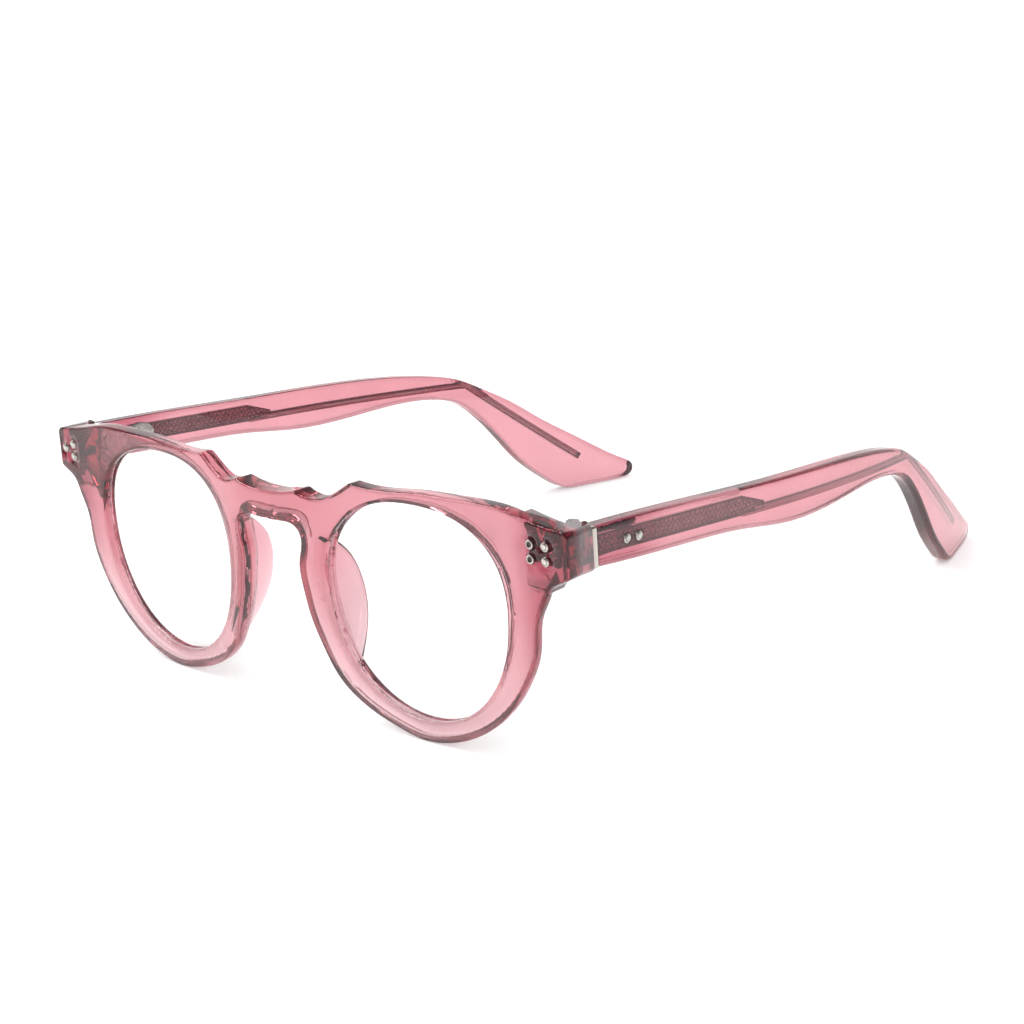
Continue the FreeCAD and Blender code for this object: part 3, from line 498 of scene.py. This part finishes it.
def bead(made, centre, along, across, normal):
    """Slanted bead with a ridge, closed underneath."""
    reaches = (along * BEAD_LONG, across * BEAD_WIDE, along * -BEAD_LONG, across * -BEAD_WIDE)
    base = [made.verts.new(centre + reach) for reach in reaches]
    lift = normal * (SHIELD_HALF - GROUND_HALF + BEAD_SINK - BEAD_LOW)
    ridge = [made.verts.new(centre + along * reach + lift) for reach in (BEAD_RIDGE, -BEAD_RIDGE)]
    for corners in (base, (base[0], base[1], ridge[0]), (base[1], base[2], ridge[1], ridge[0]),
                    (base[2], base[3], ridge[1]), (base[3], base[0], ridge[0], ridge[1])):
        made.faces.new(corners).material_index = BEAD_NUMBER


def beads(made, sign):
    """Rows of beads on both faces; every other row slants the other way, half a pitch further on."""
    shoulder = SHIELD[1][0]
    for side in (-1, 1):
        normal = Vector((sign * side, 0, 0))
        x = sign * (CORE_X + side * (GROUND_HALF - BEAD_SINK))
        for row in range(BEAD_ROWS):
            odd = row % 2
            slant = math.radians(BEAD_SLANT if odd else -BEAD_SLANT)
            along = Vector((0, math.cos(slant), math.sin(slant)))
            across = Vector((0, -math.sin(slant), math.cos(slant)))
            for column in range(BEAD_COLUMNS):
                reach = BEAD_START + BEAD_PITCH * column + BEAD_PITCH / 2 * odd
                low, high = band(reach)
                z = sum(band(min(reach, shoulder))) / 2 + (row - (BEAD_ROWS - 1) / 2) * ROW_PITCH
                inside = low + BORDER + BEAD_MARGIN < z < high - BORDER - BEAD_MARGIN
                if inside and reach < BEAD_END:
                    bead(made, Vector((x, TEMPLE_Y + reach, z)), along, across, normal)


def wire(made, sign):
    """Wire of round section with a rounded end."""
    last = len(WIRE) - 1
    way = Vector((0, WIRE[last][0] - WIRE[last - 1][0], WIRE[last][1] - WIRE[last - 1][1])).normalized()
    stations = [(run, z, 1.0) for run, z in WIRE]
    for ahead, share in WIRE_END:
        stations.append((WIRE[last][0] + way.y * ahead, WIRE[last][1] + way.z * ahead, share))
    rings = []
    for index, (run, z, share) in enumerate(stations):
        step = way
        if index < last:
            before = stations[max(index - 1, 0)]
            after = stations[index + 1]
            step = Vector((0, after[0] - before[0], after[1] - before[1])).normalized()
        up = Vector((0, -step.z, step.y))
        centre = Vector((sign * core_x(TEMPLE_Y + run), TEMPLE_Y + run, z))
        ring = []
        for turn in range(WIRE_STEPS):
            angle = 2 * math.pi * turn / WIRE_STEPS
            wide = Vector((1, 0, 0)) * math.cos(angle) * WIRE_HALF_WIDTH
            ring.append(made.verts.new(centre + (wide + up * math.sin(angle) * WIRE_HALF_HEIGHT) * share))
        rings.append(ring)
    for first, second in zip(rings, rings[1:]):
        joined(made, first, second, WIRE_NUMBER)
    capped(made, rings[0], rings[-1], WIRE_NUMBER)


for side, sign in SIDES:
    made = bmesh.new()
    shield_plate(made, sign)
    beads(made, sign)
    wire(made, sign)
    # Painted shade on the ground, painted highlight on the beads, painted shade on the top and bottom of
    # the wire
    metals = [shaded_ground_metal, highlit_bead_metal, shaded_wire_metal]
    piece_from(side + "_core", made, metals, side + "_temple_arm", [side + "_core_wire"])

# Hinge leaf on the temple: low plate with a round end, two barrels on arms, two countersunk rivet ends
LEAF = [(-65.9, 38.5), (-58.2, 38.3), (-56.4, 38.7), (-55.1, 39.7), (-54.6, 40.8)]
LEAF += [(-55.1, 41.9), (-56.4, 42.9), (-58.2, 43.3), (-65.9, 43.1)]
LEAF_OUTER = 68.25
LEAF_SOFT = 0.22
LEAF_SOFT_STEPS = 2
PIN_X = 66.6
PIN_Y = -67.8
BARRELS = [(39.39, 40.62), (41.97, 43.2)]
BARREL = 1.5
BARREL_FACE = 1.3
BARREL_BORE = 0.72
BARREL_SOFT = 0.2
ARM_FRONT = PIN_Y + 0.8
ARM_OUTER = LEAF_OUTER - 0.05
ARM = [(PIN_X, ARM_FRONT), (ARM_OUTER, ARM_FRONT), (ARM_OUTER, -65.0), (PIN_X, -65.6)]
# The rivet ends carry painted shade on their rim
RIVET_END = [(0.0, -0.12, BRIGHT), (0.35, -0.1, BRIGHT), (0.6, 0.0, BRIGHT)]
RIVET_END += [(0.66, 0.2, PAINTED_SHADE), (0.0, 0.2, BRIGHT)]


def extruded(made, outline, low, high, place):
    """Outline carried from low to high; place turns its two numbers and the level into x, y and z."""
    rings = [[made.verts.new(place(a, b, level)) for a, b in outline] for level in (low, high)]
    capped(made, *rings)
    joined(made, *rings)


def softened(made, width):
    """Bevels every crisp edge."""
    crisp = [edge for edge in made.edges if edge.is_manifold and edge.calc_face_angle() > CREASE]
    bmesh.ops.bevel(made, geom=crisp, offset=width, segments=LEAF_SOFT_STEPS, profile=0.5, affect="EDGES")


def barrel_rows(length):
    """Profile of a barrel round its bore, with soft ends."""
    rows = [(BARREL_BORE, 0.0, BRIGHT), (BARREL_FACE, 0.0, BRIGHT), (BARREL, BARREL_SOFT, BRIGHT)]
    rows += [(BARREL, length - BARREL_SOFT, BRIGHT), (BARREL_FACE, length, BRIGHT)]
    return rows + [(BARREL_BORE, length, BRIGHT), (BARREL_BORE, 0.0, BRIGHT)]


for side, sign in SIDES:
    made = bmesh.new()
    extruded(made, LEAF, LEAF_INNER, LEAF_OUTER, lambda y, z, x: (sign * x, y, z))
    bmesh.ops.recalc_face_normals(made, faces=made.faces)
    softened(made, LEAF_SOFT)
    for low, high in BARRELS:
        extruded(made, ARM, low, high, lambda x, y, z: (sign * x, y, z))
        turned(made, (sign * PIN_X, PIN_Y, low), (0, 0, 1), barrel_rows(high - low))
    for y, z in TEMPLE_RIVETS:
        turned(made, (sign * LEAF_INNER, y, z), (sign, 0, 0), RIVET_END)
    body = side + "_temple_arm"
    metals = [hinge_metal, painted_shade_metal]
    piece_from(side + "_leaf", made, metals, body, [side + "_temple_hinge"])

# Front with its nose pads grown out of the rims: rows of height, x of the nose side and rearmost depth
PAD_ROWS = [(39.4, 9.6, -78.9), (37.6, 9.1, -78.3), (36.0, 8.9, -76.2), (34.0, 8.7, -73.6)]
PAD_ROWS += [(31.5, 8.4, -71.3), (28.5, 8.5, -69.9), (24.0, 9.1, -69.1), (19.0, 10.4, -69.8)]
PAD_ROWS += [(14.5, 12.3, -72.2), (11.0, 14.2, -74.9), (8.6, 16.1, -77.4), (7.2, 17.4, -78.9)]
PAD_ROOT = -79.4
PAD_SPLAY = 0.29
PAD_HALF = 1.45
PAD_SECTION = [(0.0, 1.0), (0.4, 0.9), (0.7, 0.78), (0.9, 0.6), (0.98, 0.34), (1.0, 0.0)]
PAD_LEVELS = 2
WELD = 0.000001


def pad(sign):
    """Nose pad as a loft of rounded sections that start inside the rim."""
    made = bmesh.new()
    section = PAD_SECTION + [(run, -half) for run, half in PAD_SECTION[-2::-1]]
    rings = []
    for z, nose_x, back in PAD_ROWS:
        ring = []
        for run, half in section:
            y = PAD_ROOT + run * (back - PAD_ROOT)
            x = nose_x + PAD_HALF + (y - PAD_ROOT) * PAD_SPLAY - half * PAD_HALF
            ring.append(made.verts.new((sign * x, y, z)))
        rings.append(ring)
    for first, second in zip(rings, rings[1:]):
        joined(made, first, second)
    capped(made, rings[0], rings[-1])
    piece = piece_from("pad_shape", made, [], "")
    smoother = piece.modifiers.new("smoother", "SUBSURF")
    smoother.levels = PAD_LEVELS
    return piece


def dressed_front():
    """The CAD front joined with both pads as one piece."""
    made = bmesh.new()
    made.from_mesh(nodes["front_frame"].data)
    bmesh.ops.remove_doubles(made, verts=made.verts, dist=WELD)
    bmesh.ops.scale(made, vec=(1 / MM, 1 / MM, 1 / MM), verts=made.verts)
    piece = piece_from("front_shape", made, [], "")
    pads = [pad(sign) for name, sign in SIDES]
    for other in pads:
        union = piece.modifiers.new("union", "BOOLEAN")
        union.operation = "UNION"
        union.solver = "EXACT"
        union.object = other
    bpy.context.view_layer.update()
    mesh = bpy.data.meshes.new_from_object(piece.evaluated_get(bpy.context.evaluated_depsgraph_get()))
    for used in pads + [piece]:
        bpy.data.objects.remove(used)
    shaded(mesh)
    mesh.materials.clear()
    mesh.materials.append(front_pink)
    mesh.name = "front_with_pads"
    whole = bpy.data.objects.new("front_with_pads", mesh)
    scene.collection.objects.link(whole)
    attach(whole, "front")
    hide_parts("front_frame", "left_nose_pad", "right_nose_pad")


dressed_front()

# Floor, world, lights and camera
FLOOR_SIZE = 3.0
FLOOR_Z = -0.0001
FLOOR_WHITE = 0.9
FLOOR_ROUGHNESS = 0.9
FLOOR_LIFT = 0.32
WORLD_LEVEL = 0.8
DIM_SIDE = (0.2, -0.2, 0.96)
DIM_FROM = 0.05
DIM_TO = 0.45
DIM_COLOUR = (0.20, 0.12, 0.14)
CAMERA_TURN = 44.268
CAMERA_RISE = 16.434
CAMERA_ROLL = -3.726
CAMERA_TARGET = (0.03885, -0.05422, 0.03875)
CAMERA_DISTANCE = 0.42615
CAMERA_LENS = 80.39
CAMERA_SENSOR = 36.0
CAMERA_CLIP = 0.01


def any_ray(tree, *kinds):
    """1 for a ray of any of these kinds."""
    path = add(tree, "ShaderNodeLightPath")
    total = path.outputs[kinds[0]]
    for kind in kinds[1:]:
        either = add(tree, "ShaderNodeMath", operation="MAXIMUM")
        tree.links.new(total, either.inputs[0])
        tree.links.new(path.outputs[kind], either.inputs[1])
        total = either.outputs["Value"]
    return total


def floor():
    """White floor: lifted for rays that show the background, plain for the ones that light the object."""
    mesh = bpy.data.meshes.new("floor")
    made = bmesh.new()
    bmesh.ops.create_grid(made, x_segments=2, y_segments=2, size=FLOOR_SIZE)
    made.to_mesh(mesh)
    made.free()
    piece = bpy.data.objects.new("floor", mesh)
    piece.location = (0.0, 0.0, FLOOR_Z)
    scene.collection.objects.link(piece)
    material, tree, shader = new_material("floor_white")
    shader.inputs["Base Color"].default_value = (FLOOR_WHITE, FLOOR_WHITE, FLOOR_WHITE, 1.0)
    shader.inputs["Roughness"].default_value = FLOOR_ROUGHNESS
    shader.inputs["Specular IOR Level"].default_value = 0.0
    shader.inputs["Emission Color"].default_value = WHITE
    shows = any_ray(tree, "Is Camera Ray", "Is Glossy Ray", "Is Transmission Ray")
    tree.links.new(spread(tree, shows, 0.0, FLOOR_LIFT), shader.inputs["Emission Strength"])
    mesh.materials.append(material)


def white_world():
    """White for the camera; mirrored or through clear pieces, a white studio that is dimmer overhead."""
    world = bpy.data.worlds.new("studio")
    scene.world = world
    world.use_nodes = True
    tree = world.node_tree
    back = tree.nodes["Background"]
    place = add(tree, "ShaderNodeTexCoord")
    towards = add(tree, "ShaderNodeVectorMath", operation="DOT_PRODUCT")
    towards.inputs[1].default_value = DIM_SIDE
    tree.links.new(place.outputs["Generated"], towards.inputs[0])
    dim = share_between(tree, towards.outputs["Value"], DIM_FROM, DIM_TO)
    studio = ramp(tree, dim, EVEN, DIM_COLOUR, 0.0, 1.0)
    plain = (WORLD_LEVEL, WORLD_LEVEL, WORLD_LEVEL, 1.0)
    shown = mixed(tree, any_ray(tree, "Is Transmission Ray", "Is Glossy Ray"), plain, studio)
    seen = mixed(tree, any_ray(tree, "Is Camera Ray"), shown, WHITE)
    tree.links.new(seen, back.inputs["Color"])
    back.inputs["Strength"].default_value = 1.0


def area(name, place, target, size, watts):
    light = bpy.data.lights.new(name, "AREA")
    light.shape = "RECTANGLE"
    light.size, light.size_y = size
    light.energy = watts
    holder = bpy.data.objects.new(name, light)
    holder.location = place
    holder.rotation_euler = (Vector(target) - Vector(place)).to_track_quat("-Z", "Y").to_euler()
    scene.collection.objects.link(holder)


def camera():
    """Camera at the photograph's viewing angle, rolled a little."""
    turn = math.radians(CAMERA_TURN)
    rise = math.radians(CAMERA_RISE)
    roll = math.radians(CAMERA_ROLL)
    back = Vector((math.sin(turn) * math.cos(rise), -math.cos(turn) * math.cos(rise), math.sin(rise)))
    level = (-back).cross(Vector((0, 0, 1))).normalized()
    upright = level.cross(-back)
    right = level * math.cos(roll) + upright * math.sin(roll)
    up = upright * math.cos(roll) - level * math.sin(roll)
    lens = bpy.data.cameras.new("camera")
    lens.sensor_fit = "HORIZONTAL"
    lens.sensor_width = CAMERA_SENSOR
    lens.lens = CAMERA_LENS
    lens.clip_start = CAMERA_CLIP
    holder = bpy.data.objects.new("camera", lens)
    axes = Matrix((right, up, back)).transposed().to_4x4()
    holder.matrix_world = Matrix.Translation(Vector(CAMERA_TARGET) + back * CAMERA_DISTANCE) @ axes
    scene.collection.objects.link(holder)
    scene.camera = holder


floor()
white_world()
area("key", place=(-0.35, -0.25, 0.7), target=(0.0, 0.0, 0.02), size=(0.12, 0.7), watts=3.0)
area("fill", place=(0.6, -0.5, 0.5), target=(0.0, -0.03, 0.02), size=(0.1, 0.5), watts=1.5)
camera()
